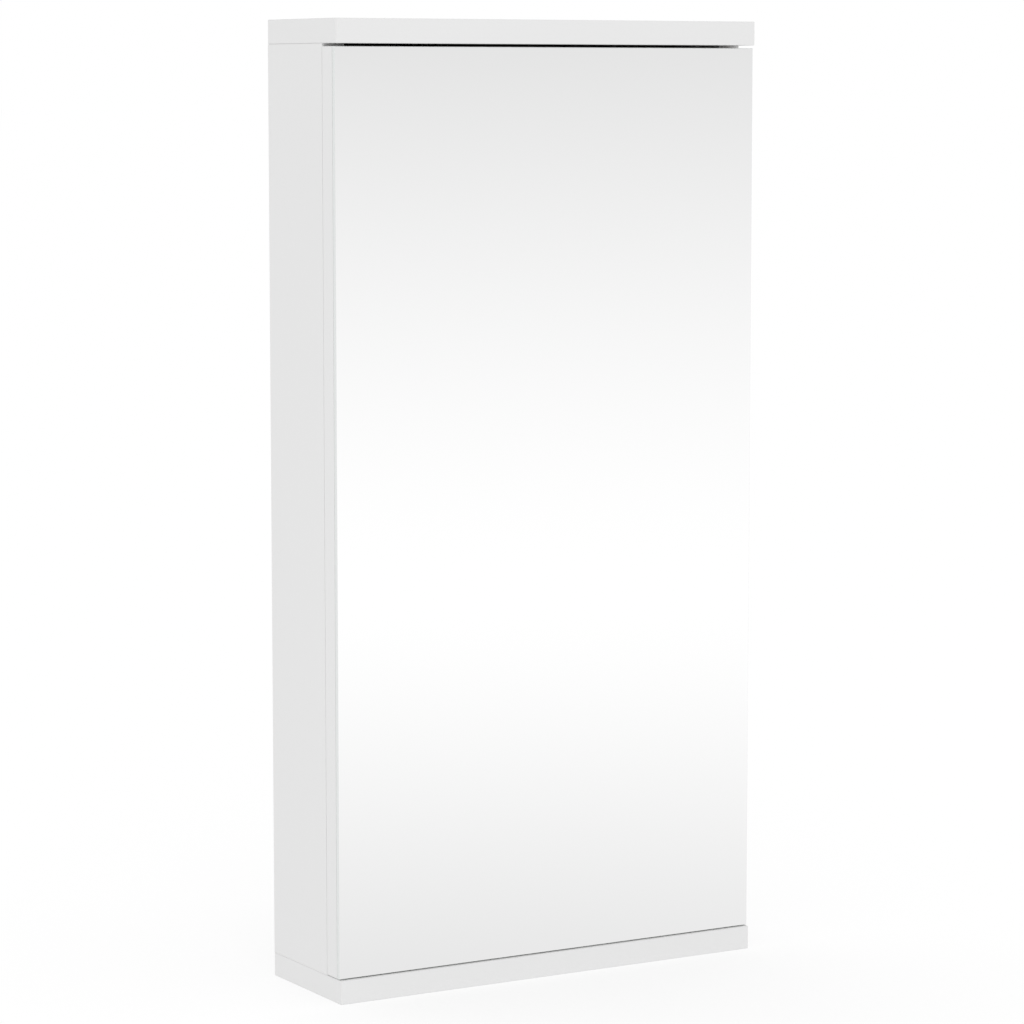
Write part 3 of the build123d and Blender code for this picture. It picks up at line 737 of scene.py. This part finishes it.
middle = Matrix.Translation((0, 0, -bracket["mirrorLevel"]))
bmesh.ops.scale(below, vec=(1, 1, -1), space=middle, verts=below.verts)
bmesh.ops.recalc_face_normals(below, faces=below.faces)
setPiece("pivot_bracket_bottom", "carcass", zincPlate, [(below, identity)], bracketSharp)
print("brackets modelled")

# Camera, at the photograph's viewing angle
viewpoint = {
    "place": (-1.1947, -2.1091, 0.5623),
    "azimuth": 30.38,
    "pitch": 6.56,
    "roll": 0.0,
    "lens": 131.63,
    "sensor": 36.0,
    "reach": 200.0,
}
cameraData = bpy.data.cameras.new("camera")
cameraData.lens = viewpoint["lens"]
cameraData.sensor_width = viewpoint["sensor"]
cameraData.clip_end = viewpoint["reach"]
camera = bpy.data.objects.new("camera", cameraData)
bpy.context.scene.collection.objects.link(camera)
camera.matrix_world = (
    Matrix.Translation(viewpoint["place"])
    @ Matrix.Rotation(-radians(viewpoint["azimuth"]), 4, "Z")
    @ Matrix.Rotation(radians(90.0 - viewpoint["pitch"]), 4, "X")
    @ Matrix.Rotation(radians(viewpoint["roll"]), 4, "Z")
)
bpy.context.scene.camera = camera

# Studio: a white floor whose far light the mirror shows as a soft upright fade
studio = {
    "floorSize": 60.0,
    "floorColour": (0.20, 0.20, 0.20),
    "floorGlow": 0.75,  # the table's own light, which the camera doesn't see
    "shadowShare": 0.30,  # how much of the floor's white the shadow can take
    "worldLevel": 1.0,
    "brightest": 1.012,
    "aboveFade": (0.1325, 0.3045, 0.5, 1.9),   # start, share, how soon it levels off, bend
    "belowFade": (0.138, 0.092, 0.304, 0.6, 1.8),
}


def floorMaterial():
    material, graph = newMaterial("studio_floor")
    path = graph.add("ShaderNodeLightPath")
    isCamera = Wire(graph, path.outputs["Is Camera Ray"])
    share = studio["shadowShare"]
    lit = graph.out("ShaderNodeBsdfDiffuse", None, {"Color": (share, share, share, 1.0)})
    white = graph.out("ShaderNodeEmission", None, {"Strength": 1.0 - share * studio["worldLevel"]})
    shown = graph.out("ShaderNodeAddShader", None, {0: lit, 1: white})
    plain = graph.out("ShaderNodeBsdfDiffuse", None, {"Color": (*studio["floorColour"], 1.0)})
    glow = graph.out("ShaderNodeEmission", None, {"Strength": studio["floorGlow"]})
    table = graph.out("ShaderNodeAddShader", None, {0: plain, 1: glow})
    surface = graph.out("ShaderNodeMixShader", None, {0: isCamera, 1: table, 2: shown})
    graph.add("ShaderNodeOutputMaterial", None, {"Surface": surface})
    return material


floorMesh = bmesh.new()
bmesh.ops.create_grid(floorMesh, x_segments=1, y_segments=1, size=studio["floorSize"])
floorData = bpy.data.meshes.new("studio_floor")
floorMesh.to_mesh(floorData)
floorMesh.free()
floor = bpy.data.objects.new("studio_floor", floorData)
bpy.context.scene.collection.objects.link(floor)
floorData.materials.append(floorMaterial())
floor.visible_glossy = False  # the mirror and the metal show the world's fade instead


def studioFade(graph):
    direction = Wire(graph, graph.add("ShaderNodeTexCoord").outputs["Generated"])
    drop = 0.0 - graph.axes(direction)[2]
    start, share, level, bend = studio["aboveFade"]
    above = ((start - drop).most(0.0) / start) ** bend
    above = above * share / (above * level + 1.0)
    start, span, share, level, bend = studio["belowFade"]
    below = ((drop - start).most(0.0) / span) ** bend
    below = below * share / (below * level + 1.0)
    return (1.0 - above - below) * studio["brightest"]


world = bpy.data.worlds.new("studio")
world.use_nodes = True
sky = Graph(world.node_tree)
path = sky.add("ShaderNodeLightPath")
white = (1.0, 1.0, 1.0, 1.0)
ambient = sky.out("ShaderNodeBackground", None, {"Color": white, "Strength": studio["worldLevel"]})
backdrop = sky.out("ShaderNodeBackground", None, {"Color": white, "Strength": 1.0})
mirrored = sky.out("ShaderNodeBackground", None, {"Color": white, "Strength": studioFade(sky)})
isCamera, isGlossy = [Wire(sky, path.outputs[name]) for name in ("Is Camera Ray", "Is Glossy Ray")]
surface = sky.out("ShaderNodeMixShader", None, {0: isCamera, 1: ambient, 2: backdrop})
surface = sky.out("ShaderNodeMixShader", None, {0: isGlossy, 1: surface, 2: mirrored})
sky.add("ShaderNodeOutputWorld", None, {"Surface": surface})
bpy.context.scene.world = world

# One large soft lamp in front, to the left
keyLamp = {"place": (-0.95, -2.1, 1.0), "aim": (0.0, 0.0, 0.3), "size": 1.6, "power": 5.2}
lampData = bpy.data.lights.new("key_lamp", "AREA")
lampData.size = keyLamp["size"]
lampData.energy = keyLamp["power"]
lamp = bpy.data.objects.new("key_lamp", lampData)
bpy.context.scene.collection.objects.link(lamp)
lamp.visible_glossy = False  # its square doesn't show in the mirror
lamp.location = keyLamp["place"]
aim = Vector(keyLamp["aim"]) - Vector(keyLamp["place"])
lamp.rotation_euler = aim.to_track_quat("-Z", "Y").to_euler()

bpy.context.scene.view_settings.view_transform = "Standard"
print("studio ready")
